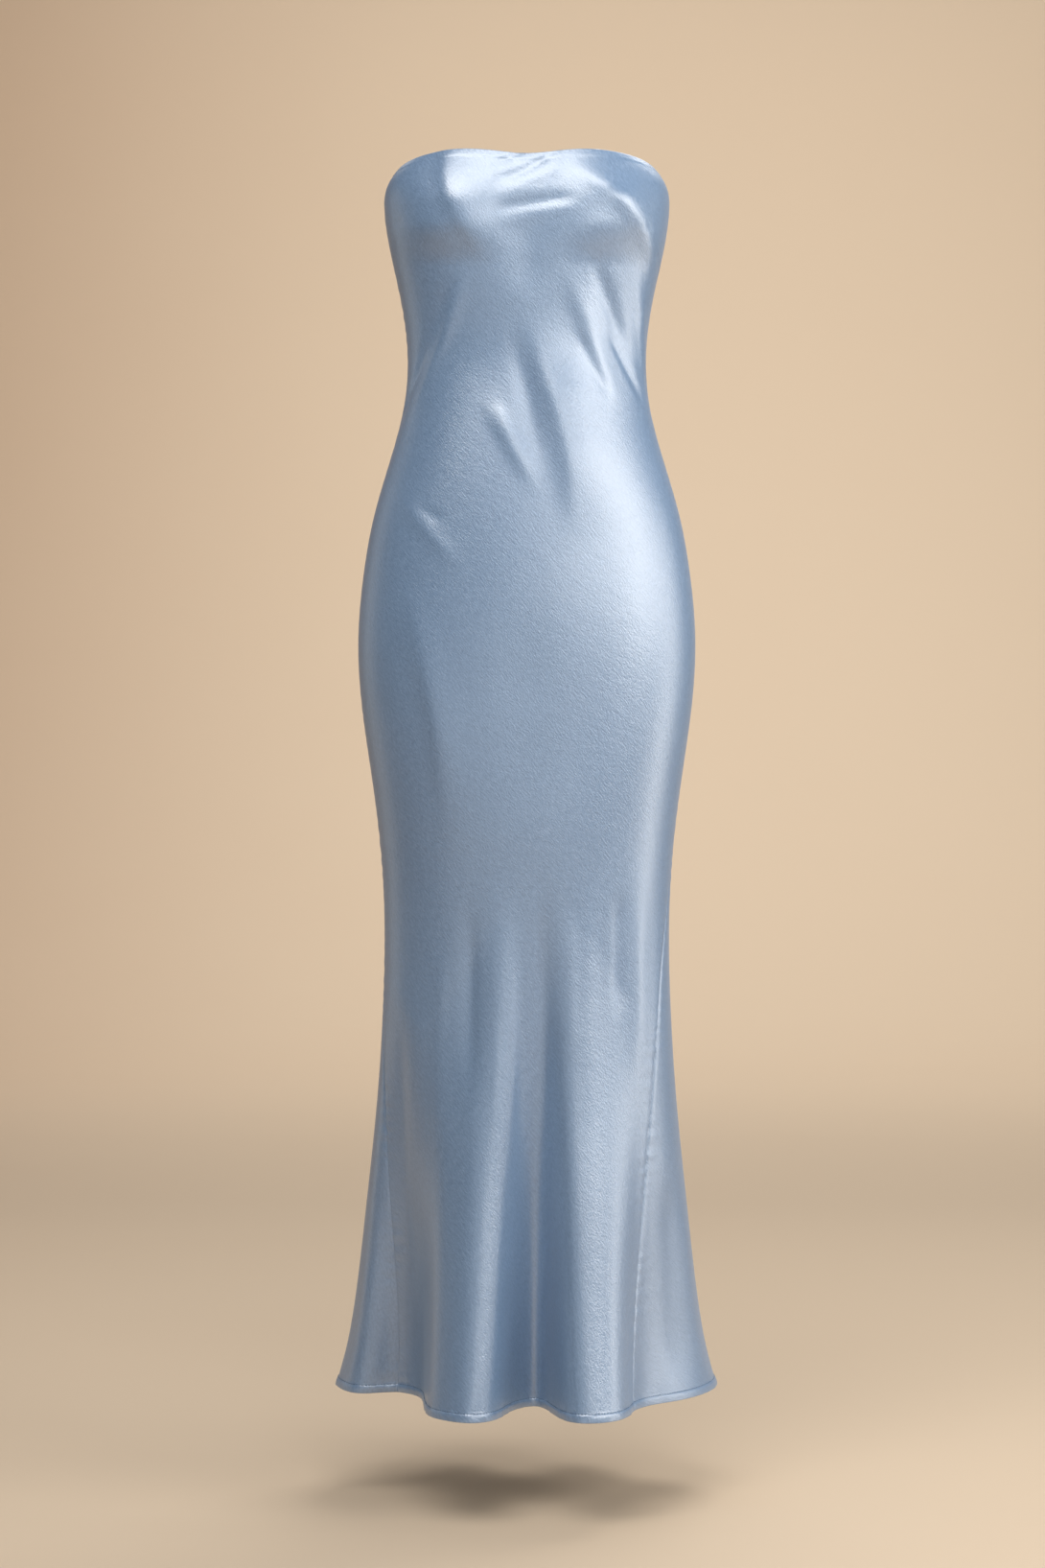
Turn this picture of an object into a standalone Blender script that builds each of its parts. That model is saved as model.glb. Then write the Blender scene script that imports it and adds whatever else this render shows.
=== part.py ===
"""Strapless bias-cut satin dress, hollow and filled out as when worn. Metres, +Z up, front faces -Y.

The origin is the centre of the opening at the top edge, where the wearer holds the dress up. The cloth is a
thin wall lofted through sections round the figure: a table of sections gives the fitted part, a table of hem
points gives the flutes, and a table of folds gives the cups and the drag folds. Each panel is the stretch of that
wall between two seams.
"""
from math import cos, pi, radians, sin

import bmesh
import bpy
import numpy as np
from mathutils import Matrix, Vector

# Driving dimensions
HEM_DOWN = 1.2645           # level hem, measured down from the side's top edge
WALL = 0.0012               # thickness of the satin wall
SEAM_GAP = 0.0003           # clear space between two panels at a seam
HEM_TURN = 0.010            # height of the turned-up hem
HEM_RAISE = 0.0008          # how far the hem's turned cloth stands out
TOP_TURN = 0.007            # height of the turned top edge
TOP_RAISE = 0.0004          # how far the top edge's turned cloth stands out
FOLD_GROWTH = 1.4           # power by which a flute deepens from its start to the hem
FOLD_SCALE = 0.125          # metres of cloth for one radian round, when a fold's width is measured

# Sections of the fitted form. down: below the top edge. half_width: at the side. front, back: depths.
# front_square, back_square: 2 is an ellipse, more is squarer.
SECTION_COLUMNS = ("down", "half_width", "front", "back", "front_square", "back_square")
SECTIONS = (
    (0.0000, 0.1350, 0.0920, 0.0900, 2.55, 2.40),
    (0.0085, 0.1415, 0.0955, 0.0910, 2.60, 2.40),
    (0.0385, 0.1478, 0.1015, 0.0925, 2.55, 2.35),
    (0.0685, 0.1442, 0.1025, 0.0925, 2.50, 2.30),
    (0.1185, 0.1337, 0.0975, 0.0890, 2.35, 2.25),
    (0.1585, 0.1265, 0.0915, 0.0835, 2.25, 2.20),
    (0.1985, 0.1237, 0.0885, 0.0805, 2.20, 2.20),
    (0.2385, 0.1268, 0.0915, 0.0845, 2.20, 2.20),
    (0.2985, 0.1417, 0.0985, 0.0980, 2.20, 2.20),
    (0.3585, 0.1590, 0.1045, 0.1115, 2.20, 2.20),
    (0.4185, 0.1697, 0.1090, 0.1200, 2.20, 2.20),
    (0.4885, 0.1752, 0.1120, 0.1215, 2.20, 2.20),
    (0.5585, 0.1710, 0.1125, 0.1165, 2.20, 2.20),
    (0.6385, 0.1597, 0.1105, 0.1085, 2.20, 2.20),
    (0.7185, 0.1507, 0.1065, 0.1010, 2.20, 2.20),
    (0.7985, 0.1478, 0.1045, 0.0985, 2.20, 2.20),
    (0.8785, 0.1499, 0.1060, 0.1005, 2.20, 2.20),
    (0.9785, 0.1568, 0.1115, 0.1065, 2.20, 2.20),
    (1.0785, 0.1668, 0.1195, 0.1145, 2.20, 2.20),
    (1.1785, 0.1780, 0.1285, 0.1235, 2.20, 2.20),
    (1.2285, 0.1868, 0.1335, 0.1285, 2.20, 2.20),
    (1.2645, 0.1965, 0.1370, 0.1320, 2.20, 2.20),
)

# Points of the hem line seen from above, for the flutes. round_deg: the cloth's line round the section, 0 at
# centre front and 90 at the side on +X. x, y: where that line ends at the hem. start: where its fold begins.
HEM_COLUMNS = ("round_deg", "x", "y", "start")
HEM_POINTS = (
    (-90, -0.1965, 0.0000, 0.88),
    (-84, -0.1790, -0.0330, 0.88),
    (-78, -0.1560, -0.0330, 0.86),
    (-71, -0.1350, -0.0290, 0.85),
    (-63, -0.1170, -0.0430, 0.86),
    (-56, -0.1065, -0.0680, 0.88),
    (-49, -0.1030, -0.1080, 0.88),
    (-42, -0.0985, -0.1480, 0.86),
    (-35, -0.0870, -0.1710, 0.84),
    (-27, -0.0670, -0.1880, 0.80),
    (-19, -0.0465, -0.1890, 0.78),
    (-12, -0.0300, -0.1700, 0.76),
    (-6, -0.0200, -0.1400, 0.75),
    (0, -0.0085, -0.1160, 0.75),
    (5, 0.0060, -0.1040, 0.75),
    (11, 0.0190, -0.1180, 0.75),
    (17, 0.0280, -0.1500, 0.75),
    (23, 0.0400, -0.1810, 0.76),
    (30, 0.0570, -0.1930, 0.78),
    (38, 0.0760, -0.1890, 0.80),
    (46, 0.0930, -0.1730, 0.83),
    (52, 0.1020, -0.1510, 0.85),
    (58, 0.1080, -0.1260, 0.86),
    (64, 0.1240, -0.1010, 0.87),
    (72, 0.1500, -0.0790, 0.88),
    (81, 0.1770, -0.0470, 0.88),
    (90, 0.1965, 0.0000, 0.88),
    (100, 0.1930, 0.0480, 0.90),
    (110, 0.1700, 0.0800, 0.92),
    (119, 0.1430, 0.0890, 0.88),
    (127, 0.1210, 0.1080, 0.85),
    (135, 0.1060, 0.1380, 0.82),
    (144, 0.0830, 0.1590, 0.80),
    (153, 0.0560, 0.1540, 0.80),
    (161, 0.0390, 0.1270, 0.80),
    (169, 0.0210, 0.1080, 0.80),
    (177, 0.0020, 0.1180, 0.80),
    (185, -0.0150, 0.1470, 0.80),
    (194, -0.0390, 0.1680, 0.82),
    (203, -0.0650, 0.1610, 0.84),
    (211, -0.0830, 0.1340, 0.85),
    (219, -0.1000, 0.1060, 0.86),
    (228, -0.1240, 0.0920, 0.87),
    (238, -0.1520, 0.0930, 0.88),
    (248, -0.1770, 0.0730, 0.90),
    (259, -0.1930, 0.0390, 0.90),
)

# Height of the top edge above or below the origin's level, round the dress.
TOP_EDGE_COLUMNS = ("round_deg", "rise")
TOP_EDGE = (
    (-90, -0.0030),
    (-75, -0.0005),
    (-62, 0.0042),
    (-50, 0.0075),
    (-36, 0.0088),
    (-18, 0.0062),
    (0, 0.0036),
    (18, 0.0062),
    (36, 0.0088),
    (50, 0.0075),
    (62, 0.0042),
    (75, -0.0005),
    (90, -0.0030),
    (130, -0.0050),
    (180, -0.0060),
    (230, -0.0050),
)
TOP_EDGE_FADE = 0.045       # how far down the edge's rise still moves the rows

# Side seams: the cloth's line that each follows. They come forward below the knee.
SEAM_COLUMNS = ("down", "right_deg", "left_deg")
SIDE_SEAMS = (
    (0.00, 90.0, -90.0),
    (0.68, 90.0, -90.0),
    (0.80, 75.0, -86.0),
    (0.92, 66.0, -80.0),
    (1.05, 61.0, -75.0),
    (1.16, 58.5, -72.0),
    (1.2645, 57.0, -70.5),
)
CENTRE_BACK_DEG = 180.0

# Soft folds and cups: a line on the cloth from one place to another, raised by height, or sunk where it is
# below 0. bow: how far its middle swings towards larger round_deg, as a part of its length. reach_low and
# reach_high: half-widths on the side of smaller and of larger round_deg.
FOLD_COLUMNS = ("from_deg", "from_down", "to_deg", "to_down", "bow", "reach_low", "reach_high", "height")
LARGE_FOLDS = (
    (-40, 0.006, -42, 0.110, 0.00, 0.0420, 0.0420, 0.0100),    # cup on the -X side
    (40, 0.006, 42, 0.110, 0.00, 0.0420, 0.0420, 0.0100),      # cup on the +X side
    (0, 0.045, 0, 0.150, 0.00, 0.0300, 0.0300, -0.0030),       # cloth drawn in between the cups
    (-52, -0.040, -22, 0.115, 0.00, 0.0120, 0.0300, 0.0032),   # edge of the -X cup's top plane
    (16, -0.005, 82, 0.140, 0.04, 0.0140, 0.0320, 0.0040),      # edge of the +X cup's top plane
    (56, 0.100, 83, 0.250, 0.05, 0.0080, 0.0100, 0.0024),      # drag fold at the +X side of the waist
    (33, 0.092, 68, 0.215, 0.00, 0.0085, 0.0085, -0.0032),     # trough beside it
    (22, 0.106, 55, 0.255, 0.00, 0.0105, 0.0150, 0.0034),      # drag fold from under the +X cup
    (-3, 0.148, 27, 0.405, 0.07, 0.0160, 0.0500, 0.0070),      # large drag fold across the waist
    (-14, 0.165, 8, 0.345, 0.05, 0.0140, 0.0120, -0.0026),      # trough beside it
    (-28, 0.236, 9, 0.345, 0.00, 0.0100, 0.0130, 0.0027),      # short ridge under the waist
    (-68, 0.330, -30, 0.432, 0.00, 0.0080, 0.0120, 0.0011),    # hip ridge on the -X side
    (-61, 0.425, -40, 0.730, 0.05, 0.0110, 0.0240, 0.0024),    # edge of the thigh on the -X side
    (-30, 0.105, -74, 0.270, 0.00, 0.0080, 0.0080, 0.0026),    # drag fold at the -X side of the waist
    (-41, 0.115, -83, 0.272, 0.00, 0.0080, 0.0080, -0.0022),   # trough beside it
    (0, 0.440, 0, 0.700, 0.00, 0.0600, 0.0600, -0.0030),       # cloth flat between the thighs
    (8, 0.705, 13, 1.060, 0.00, 0.0110, 0.0150, -0.0038),      # valley between the front flutes
    (-16, 0.715, -13, 1.060, 0.00, 0.0140, 0.0160, 0.0030),    # crest of the front flute on the -X side
    (-31, 0.730, -29, 0.980, 0.00, 0.0100, 0.0100, -0.0026),   # trough beside it
    (33, 0.725, 32, 1.000, 0.00, 0.0110, 0.0130, 0.0022),      # crest of the front flute on the +X side
    (58, 0.700, 56, 0.980, 0.00, 0.0110, 0.0110, 0.0018),      # ridge beside the +X seam
    (176, 0.140, 143, 0.395, -0.07, 0.0400, 0.0100, 0.0050),   # large drag fold across the back
    (186, 0.180, 176, 0.300, 0.00, 0.0090, 0.0090, -0.0018),   # trough beside it
    (154, 0.120, 116, 0.245, -0.03, 0.0100, 0.0120, -0.0026),  # back waist trough on the +X side
    (207, 0.125, 243, 0.235, 0.03, 0.0120, 0.0100, -0.0026),   # back waist trough on the -X side
    (136, 0.110, 104, 0.265, -0.03, 0.0110, 0.0090, 0.0026),   # back waist ridge on the +X side
    (213, 0.195, 250, 0.325, 0.03, 0.0090, 0.0130, 0.0028),    # back waist ridge on the -X side
    (192, 0.235, 226, 0.345, 0.00, 0.0110, 0.0085, 0.0024),    # short ridge over the seat
    (160, 0.700, 158, 1.150, 0.00, 0.0130, 0.0130, 0.0034),    # crest of a back flute on the +X side
    (176, 0.720, 177, 1.120, 0.00, 0.0110, 0.0120, -0.0036),   # valley at the centre back
    (198, 0.715, 197, 1.140, 0.00, 0.0130, 0.0120, 0.0030),    # crest of a back flute on the -X side
)
FOLD_RAMP = 0.42            # part of a fold's length over which it rises from nothing

# Rows of the loft: from each height on, the step to the next row.
ROW_COLUMNS = ("down", "step")
ROW_STEPS = (
    (0.007, 0.0150),
    (0.120, 0.0190),
    (0.290, 0.0340),
    (0.560, 0.0500),
    (0.800, 0.0450),
)
FRONT_COLUMNS = 44
BACK_COLUMNS = 21

# Concealed zip in the centre-back seam
ZIP_END_DOWN = 0.385        # lower end of the tapes, at the hip
ZIP_TOP_DOWN = 0.003
TAPE_WIDTH = 0.0125
TAPE_THICK = 0.0010
TAPE_OFF_WALL = 0.0004
SLIDER_DOWN = 0.0120        # height of the slider's middle below the top edge
SLIDER_SLOT = 0.0018        # width of the seam's opening where the slider's neck passes
SLOT_REACH = 0.0190         # how far down the seam is opened for the slider
NECK_WIDTH = 0.0011
NECK_TALL = 0.0050
BODY_WIDTH = 0.0066
BODY_TALL = 0.0085
BODY_THICK = 0.0022
PLATE_WIDTH = 0.0044
PLATE_TALL = 0.0080
PLATE_THICK = 0.0010
PLATE_OFF_CLOTH = 0.0005
CROWN_WIDTH = 0.0016
CROWN_OUTER = 0.0026
CROWN_INNER = 0.0015
AXIS_OFF_PLATE = 0.0019     # hinge line of the pull, off the plate's outer face
PULL_LENGTH = 0.0200
PULL_NECK = 0.0060
PULL_BROAD = 0.0078
PULL_THICK = 0.0012
PULL_BAR = 0.0012           # bar of the pull inside the crown
PULL_SLOT_WIDTH = 0.0027
PULL_SLOT_TALL = 0.0027

COLLECTION = "strapless_dress"
CUTTERS = "strapless_dress_cutters"


def spline(knots, values):
    """Returns the smooth curve (a natural cubic spline) through a table's column, as a function."""
    knots = np.asarray(knots, float)
    values = np.asarray(values, float)
    gaps = np.diff(knots)
    slopes = np.diff(values) / gaps
    count = len(knots)
    system = np.eye(count)
    right = np.zeros(count)
    for i in range(1, count - 1):
        system[i, i - 1] = gaps[i - 1]
        system[i, i] = 2 * (gaps[i - 1] + gaps[i])
        system[i, i + 1] = gaps[i]
        right[i] = 6 * (slopes[i] - slopes[i - 1])
    bend = np.linalg.solve(system, right)

    def curve(at):
        at = np.clip(np.asarray(at, float), knots[0], knots[-1])
        i = np.clip(np.searchsorted(knots, at, side="right") - 1, 0, count - 2)
        left = at - knots[i]
        gap = gaps[i]
        return (values[i] + left * (slopes[i] - gap * (2 * bend[i] + bend[i + 1]) / 6)
                + left ** 2 * bend[i] / 2 + left ** 3 * (bend[i + 1] - bend[i]) / (6 * gap))

    return curve


def column_splines(columns, rows):
    """Returns a curve for each named column of a table, over its first column."""
    data = np.array(rows, float)
    return {name: spline(data[:, 0], data[:, i]) for i, name in enumerate(columns) if i}


def closed_splines(columns, rows):
    """The same for a table whose first column goes once round, in degrees."""
    data = np.array(rows, float)
    before = data[-6:].copy()
    before[:, 0] -= 360
    after = data[:6].copy()
    after[:, 0] += 360
    return column_splines(columns, np.vstack([before, data, after]))


section = column_splines(SECTION_COLUMNS, SECTIONS)
hem_line = closed_splines(HEM_COLUMNS, HEM_POINTS)
top_edge = closed_splines(TOP_EDGE_COLUMNS, TOP_EDGE)
side_seam = column_splines(SEAM_COLUMNS, SIDE_SEAMS)


def wrapped(angle):
    """An angle in degrees, moved into the range of the tables that go round."""
    first = HEM_POINTS[0][0]
    return (np.asarray(angle, float) - first) % 360 + first


def plain_section(angle, down):
    """Point of the fitted form on the line at that angle, before flutes and folds."""
    turn = np.radians(angle)
    front = np.cos(turn) > 0
    depth = np.where(front, section["front"](down), section["back"](down))
    square = np.where(front, section["front_square"](down), section["back_square"](down))
    across = np.abs(np.sin(turn)) / section["half_width"](down)
    along = np.abs(np.cos(turn)) / depth
    reach = (across ** square + along ** square) ** (-1 / square)
    return reach * np.sin(turn), -reach * np.cos(turn)


def smooth(value):
    """Eases from 0 to 1."""
    value = np.clip(value, 0, 1)
    return value * value * (3 - 2 * value)


def fold_height(angle, down):
    """Sum of the folds at a place of the cloth, outward."""
    total = np.zeros(np.broadcast(angle, down).shape)
    for from_deg, from_down, to_deg, to_down, bow, reach_low, reach_high, height in LARGE_FOLDS:
        middle = (from_deg + to_deg) / 2
        near = (angle - middle + 180) % 360 - 180
        across = np.radians(near) * FOLD_SCALE
        start = np.array([radians(from_deg - middle) * FOLD_SCALE, from_down])
        run = np.array([radians(to_deg - middle) * FOLD_SCALE, to_down]) - start
        length = np.hypot(*run)
        part = ((across - start[0]) * run[0] + (down - start[1]) * run[1]) / length ** 2
        off = ((across - start[0]) * run[1] - (down - start[1]) * run[0]) / length
        off = off - bow * length * 4 * part * (1 - part)
        reach = np.where(off > 0, reach_high, reach_low)
        taper = smooth(part / FOLD_RAMP) * smooth((1 - part) / FOLD_RAMP)
        total = total + height * taper * np.exp(-(off / reach) ** 2)
    return total


def cloth(angle, down):
    """Middle of the satin wall on the line at that angle, that far below the top edge."""
    angle = wrapped(angle)
    down = np.asarray(down, float)
    x, y = plain_section(angle, down)
    hem_x, hem_y = plain_section(angle, np.full_like(down, HEM_DOWN))
    start = hem_line["start"](angle)
    growth = np.clip((down - start) / (HEM_DOWN - start), 0, None) ** FOLD_GROWTH
    x = x + (hem_line["x"](angle) - hem_x) * growth
    y = y + (hem_line["y"](angle) - hem_y) * growth
    lift = fold_height(angle, down)
    turn = np.radians(angle)
    x = x + lift * np.sin(turn)
    y = y - lift * np.cos(turn)
    z = top_edge["rise"](angle) * np.exp(-down / TOP_EDGE_FADE) - down
    return np.stack([x, y, z], axis=-1)


def outward(angle, down):
    """Unit normal of the cloth, pointing away from the wearer."""
    small_turn = 0.05
    small_drop = 0.0002
    round_ward = cloth(angle + small_turn, down) - cloth(angle - small_turn, down)
    down = np.asarray(down, float)
    above = np.maximum(down - small_drop, 0)
    below = np.minimum(down + small_drop, HEM_DOWN)
    down_ward = cloth(angle, below) - cloth(angle, above)
    normal = np.cross(down_ward, round_ward)
    return normal / np.linalg.norm(normal, axis=-1, keepdims=True)


def loft_rows():
    """Heights of the loft's rows, closer where the form turns and at the turned edges."""
    rows = [0.0, TOP_TURN]
    steps = dict(ROW_STEPS)
    hem_top = HEM_DOWN - HEM_TURN
    step = 0.0
    while True:
        step = next(steps[d] for d in sorted(steps, reverse=True) if rows[-1] >= d - 1e-9)
        if rows[-1] + 1.5 * step > hem_top:
            break
        rows.append(rows[-1] + step)
    rows += [hem_top, hem_top + HEM_RAISE, HEM_DOWN]
    return np.array(rows)


def turned_edge(down):
    """How far the outer face stands out where the cloth is turned, at the top edge and the hem."""
    top = TOP_RAISE * np.clip((TOP_TURN - down) / (TOP_TURN / 2), 0, 1)
    hem_top = HEM_DOWN - HEM_TURN
    hem = HEM_RAISE * np.clip((down - hem_top) / HEM_RAISE, 0, 1)
    return top + hem


def slot_half(down):
    """Half of the centre-back seam's gap: wider at the top, where the zip's slider passes."""
    ease = np.clip((SLOT_REACH - down) / (SLOT_REACH - SLIDER_DOWN - NECK_TALL / 2), 0, 1)
    return SEAM_GAP / 2 + (SLIDER_SLOT - SEAM_GAP) / 2 * ease


def angle_for(distance, angle, down):
    """Degrees round that move a point on the cloth by a distance."""
    small = 0.05
    step = cloth(angle + small, down) - cloth(angle - small, down)
    return distance * 2 * small / np.linalg.norm(step)


def spread(start, end, down, count):
    """Angles from one seam to the other that are equally far apart along the cloth of a row."""
    fine = np.linspace(start, end, 600)
    points = cloth(fine, np.full(fine.shape, down))
    run = np.concatenate([[0], np.cumsum(np.linalg.norm(np.diff(points, axis=0), axis=1))])
    return np.interp(np.linspace(0, run[-1], count), run, fine)


def wall_object(name, outer, inner, material, collection):
    """One closed wall between two grids of points of the same size, rows by columns."""
    rows, columns = outer.shape[:2]
    mesh_data = bmesh.new()
    face_sets = []
    for grid in (outer, inner):
        face_sets.append([[mesh_data.verts.new(point) for point in row] for row in grid])
    out, back = face_sets
    for r in range(rows - 1):
        for c in range(columns - 1):
            mesh_data.faces.new((out[r][c], out[r + 1][c], out[r + 1][c + 1], out[r][c + 1]))
            mesh_data.faces.new((back[r][c], back[r][c + 1], back[r + 1][c + 1], back[r + 1][c]))
    rim = [(0, c) for c in range(columns)] + [(r, columns - 1) for r in range(1, rows)]
    rim += [(rows - 1, c) for c in range(columns - 2, -1, -1)] + [(r, 0) for r in range(rows - 2, 0, -1)]
    for (r, c), (next_r, next_c) in zip(rim, rim[1:] + rim[:1]):
        mesh_data.faces.new((out[r][c], out[next_r][next_c], back[next_r][next_c], back[r][c]))
    bmesh.ops.recalc_face_normals(mesh_data, faces=mesh_data.faces)
    mesh = bpy.data.meshes.new(name)
    mesh_data.to_mesh(mesh)
    mesh_data.free()
    mesh.shade_smooth()
    mesh.set_sharp_from_angle(angle=radians(50))
    mesh.materials.append(material)
    piece = bpy.data.objects.new(name, mesh)
    collection.objects.link(piece)
    return piece


def panel(name, edges, columns, material, collection):
    """A panel of the dress. edges(down) gives the angles of its two seam lines, each with its half gap."""
    rows = loft_rows()
    outer = []
    inner = []
    for down in rows:
        (start, start_gap), (end, end_gap) = edges(down)
        start = start + angle_for(start_gap, start, down)
        end = end - angle_for(end_gap, end, down)
        angles = spread(start, end, down, columns + 1)
        level = np.full(angles.shape, down)
        points = cloth(angles, level)
        normals = outward(angles, level)
        outer.append(points + normals * (WALL / 2 + turned_edge(down)))
        inner.append(points - normals * WALL / 2)
    return wall_object(name, np.array(outer), np.array(inner), material, collection)


def front_edges(down):
    half = SEAM_GAP / 2
    return (float(side_seam["left_deg"](down)), half), (float(side_seam["right_deg"](down)), half)


def back_right_edges(down):
    """The back panel on the +X side, from its side seam to the centre back."""
    return (float(side_seam["right_deg"](down)), SEAM_GAP / 2), (CENTRE_BACK_DEG, slot_half(down))


def back_left_edges(down):
    """The back panel on the -X side, from the centre back to its side seam."""
    return (CENTRE_BACK_DEG, slot_half(down)), (float(side_seam["left_deg"](down)) + 360, SEAM_GAP / 2)


def tape(name, side, material, collection):
    """One zip tape, inside the centre-back seam. side is 1 towards +X and -1 towards -X."""
    rows = [row for row in loft_rows() if ZIP_TOP_DOWN < row < ZIP_END_DOWN]
    rows = [ZIP_TOP_DOWN] + rows + [ZIP_END_DOWN]
    outer = []
    inner = []
    for down in rows:
        near = angle_for(slot_half(down), CENTRE_BACK_DEG, down)
        far = angle_for(TAPE_WIDTH, CENTRE_BACK_DEG, down)
        angles = CENTRE_BACK_DEG - side * np.linspace(near, far, 3)
        level = np.full(angles.shape, down)
        points = cloth(angles, level)
        normals = outward(angles, level)
        outer.append(points - normals * (WALL / 2 + TAPE_OFF_WALL))
        inner.append(points - normals * (WALL / 2 + TAPE_OFF_WALL + TAPE_THICK))
    return wall_object(name, np.array(outer), np.array(inner), material, collection)


def box(name, size, centre, material, collection, bevel):
    """A box with rounded edges."""
    data = bmesh.new()
    bmesh.ops.create_cube(data, size=1)
    bmesh.ops.scale(data, vec=Vector(size), verts=data.verts)
    bmesh.ops.bevel(data, geom=data.edges[:], offset=bevel, segments=2, profile=0.5, affect="EDGES")
    mesh = bpy.data.meshes.new(name)
    data.to_mesh(mesh)
    data.free()
    mesh.shade_smooth()
    mesh.set_sharp_from_angle(angle=radians(40))
    mesh.materials.append(material)
    piece = bpy.data.objects.new(name, mesh)
    piece.location = centre
    collection.objects.link(piece)
    return piece


def disc(name, radius, width, centre, material, collection):
    """A short cylinder whose axis runs along X."""
    data = bmesh.new()
    bmesh.ops.create_cone(data, cap_ends=True, segments=24, radius1=radius, radius2=radius, depth=width,
                          matrix=Matrix.Rotation(pi / 2, 4, "Y"))
    mesh = bpy.data.meshes.new(name)
    data.to_mesh(mesh)
    data.free()
    mesh.shade_smooth()
    mesh.set_sharp_from_angle(angle=radians(40))
    mesh.materials.append(material)
    piece = bpy.data.objects.new(name, mesh)
    piece.location = centre
    collection.objects.link(piece)
    return piece


def boolean(piece, other, operation):
    modifier = piece.modifiers.new(operation.lower(), "BOOLEAN")
    modifier.operation = operation
    modifier.object = other
    modifier.solver = "EXACT"


def slider_places():
    """Depths, along Y, of the slider's parts at the centre back, from the cloth outward and inward."""
    centre = np.array(CENTRE_BACK_DEG)
    downs = SLIDER_DOWN + np.linspace(-0.5, 0.5, 9) * BODY_TALL
    points = np.array([cloth(centre, np.array(d)) for d in downs])
    outer_face = points[:, 1].max() + WALL / 2 + TOP_RAISE
    inner_face = points[:, 1].min() - WALL / 2 - TAPE_OFF_WALL - TAPE_THICK
    height = float(cloth(centre, np.array(SLIDER_DOWN))[2])
    plate_near = outer_face + PLATE_OFF_CLOTH
    body_near = inner_face - PLATE_OFF_CLOTH
    return height, plate_near, body_near


def zip_slider(material, collection, cutters):
    """Inner body, neck through the seam, outer plate and crown, as one cast piece."""
    height, plate_near, body_near = slider_places()
    overlap = 0.0003
    slider = box("zip_slider", (BODY_WIDTH, BODY_THICK, BODY_TALL), (0, body_near - BODY_THICK / 2, height),
                 material, collection, 0.0005)
    neck_start = body_near - overlap
    neck_end = plate_near + overlap
    neck = box("slider_neck", (NECK_WIDTH, neck_end - neck_start, NECK_TALL),
               (0, (neck_start + neck_end) / 2, height), material, cutters, 0.0002)
    plate = box("slider_plate", (PLATE_WIDTH, PLATE_THICK, PLATE_TALL),
                (0, plate_near + PLATE_THICK / 2, height), material, cutters, 0.0003)
    axis = Vector((0, plate_near + PLATE_THICK + AXIS_OFF_PLATE, height))
    crown = disc("slider_crown", CROWN_OUTER, CROWN_WIDTH, axis, material, cutters)
    eye = disc("slider_eye", CROWN_INNER, 2 * CROWN_WIDTH, axis, material, cutters)
    for other in (neck, plate, crown):
        boolean(slider, other, "UNION")
    boolean(slider, eye, "DIFFERENCE")
    for other in (neck, plate, crown, eye):
        other.hide_render = True
        other.display_type = "WIRE"
    return axis


def zip_pull(axis, material, collection):
    """Teardrop tab with a slot at its top, which goes round the slider's crown. Its origin is on the hinge."""
    half_bar = PULL_BAR / 2
    low = half_bar - PULL_LENGTH + PULL_BROAD / 2
    rounding = [(PULL_BROAD / 2 * cos(a), low + PULL_BROAD / 2 * sin(a)) for a in np.linspace(0, -pi, 13)]
    outline = [(-PULL_NECK / 2, half_bar), (PULL_NECK / 2, half_bar)] + rounding
    slot_top = -half_bar
    slot_low = slot_top - PULL_SLOT_TALL
    half = PULL_SLOT_WIDTH / 2
    slot = [(-half, slot_top), (half, slot_top), (half, slot_low), (-half, slot_low)]
    curve = bpy.data.curves.new("zip_pull", "CURVE")
    curve.dimensions = "2D"
    curve.fill_mode = "BOTH"
    curve.extrude = PULL_THICK / 2
    for ring in (outline, slot):
        line = curve.splines.new("POLY")
        line.points.add(len(ring) - 1)
        for point, (x, y) in zip(line.points, ring):
            point.co = (x, y, 0, 1)
        line.use_cyclic_u = True
    shape = bpy.data.objects.new("zip_pull_outline", curve)
    mesh = bpy.data.meshes.new_from_object(shape.evaluated_get(bpy.context.evaluated_depsgraph_get()))
    bpy.data.objects.remove(shape)
    data = bmesh.new()
    data.from_mesh(mesh)
    bmesh.ops.remove_doubles(data, verts=data.verts, dist=1e-6)
    bmesh.ops.rotate(data, verts=data.verts, cent=(0, 0, 0), matrix=Matrix.Rotation(pi / 2, 3, "X"))
    bmesh.ops.recalc_face_normals(data, faces=data.faces)
    data.to_mesh(mesh)
    data.free()
    mesh.name = "zip_pull"
    mesh.materials.clear()
    mesh.materials.append(material)
    piece = bpy.data.objects.new("zip_pull", mesh)
    piece.location = axis
    collection.objects.link(piece)
    return piece


def make_material(name, colour, roughness, metallic=0.0):
    material = bpy.data.materials.new(name)
    material.use_nodes = True
    shader = material.node_tree.nodes["Principled BSDF"]
    shader.inputs["Base Color"].default_value = (*colour, 1)
    shader.inputs["Roughness"].default_value = roughness
    shader.inputs["Metallic"].default_value = metallic
    return material


def new_collection(name):
    collection = bpy.data.collections.new(name)
    bpy.context.scene.collection.children.link(collection)
    return collection


def clear_scene():
    for old in list(bpy.data.objects):
        bpy.data.objects.remove(old)


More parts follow.
